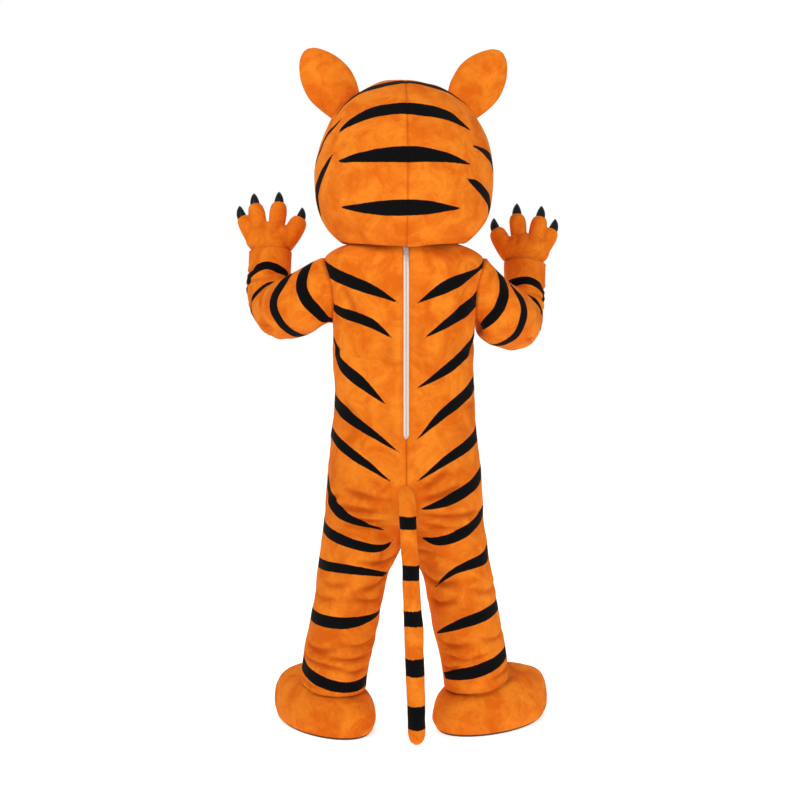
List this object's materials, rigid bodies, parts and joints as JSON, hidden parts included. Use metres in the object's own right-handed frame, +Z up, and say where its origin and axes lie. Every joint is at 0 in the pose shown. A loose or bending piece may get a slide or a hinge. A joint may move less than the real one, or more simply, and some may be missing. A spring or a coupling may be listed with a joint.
{
  "type": "tiger mascot costume",
  "caption": "Hollow plush tiger costume in worn pose: jumpsuit with back zip and swinging pull, foam head with ears, clawed paw gloves, padded boots and a tail.",
  "frame": {"origin": "middle of the neck opening, where the wearer's shoulders carry the costume, 1.41 m above the floor the soles stand on", "axes": "+Z up, -Y the way the wearer faces, +X the wearer's left"},
  "size_m": [1.0147, 0.5753, 2.0016],
  "materials": {
    "orange_plush": "short-pile plush, orange, with black plush stripes let in",
    "cream_plush": "short-pile plush, cream",
    "black_vinyl": "smooth black vinyl, satin",
    "white_eye": "moulded white plastic, satin",
    "sole_rubber": "matt dark brown sheet rubber",
    "zip_tape": "woven cream tape and nylon coil",
    "zip_metal": "nickel plated"
  },
  "bodies": {
    "costume": {"suit_back_left": "orange_plush", "suit_back_right": "orange_plush", "suit_front_left": "orange_plush", "suit_front_right": "orange_plush", "sleeve_left": "orange_plush", "sleeve_right": "orange_plush", "tail": "orange_plush", "head_back_left": "orange_plush", "head_back_right": "orange_plush", "head_face": "orange_plush", "ear_left": "orange_plush", "ear_right": "orange_plush", "muzzle": "cream_plush", "nose": "black_vinyl", "eye_left": "white_eye", "eye_right": "white_eye", "pupil_left": "black_vinyl", "pupil_right": "black_vinyl", "zip_tape_left": "zip_tape", "zip_tape_right": "zip_tape", "zip_teeth": "zip_tape", "zip_slider": "zip_metal", "glove_left_back": "orange_plush", "glove_left_palm": "orange_plush", "glove_right_back": "orange_plush", "glove_right_palm": "orange_plush", "claw_left_1": "black_vinyl", "claw_left_2": "black_vinyl", "claw_left_3": "black_vinyl", "claw_left_4": "black_vinyl", "claw_right_1": "black_vinyl", "claw_right_2": "black_vinyl", "claw_right_3": "black_vinyl", "claw_right_4": "black_vinyl", "boot_left_inner": "orange_plush", "boot_left_outer": "orange_plush", "boot_right_inner": "orange_plush", "boot_right_outer": "orange_plush", "sole_left": "sole_rubber", "sole_right": "sole_rubber"},
    "zip_pull": {"zip_pull": "zip_metal"}
  },
  "joints": [
    {"name": "zip_pull_swing", "type": "hinge", "parent": "costume", "child": "zip_pull", "pos_m": [0, 0.14612, -0.01624], "axis": [1, 0, 0], "range_deg": [0, 100]}
  ]
}
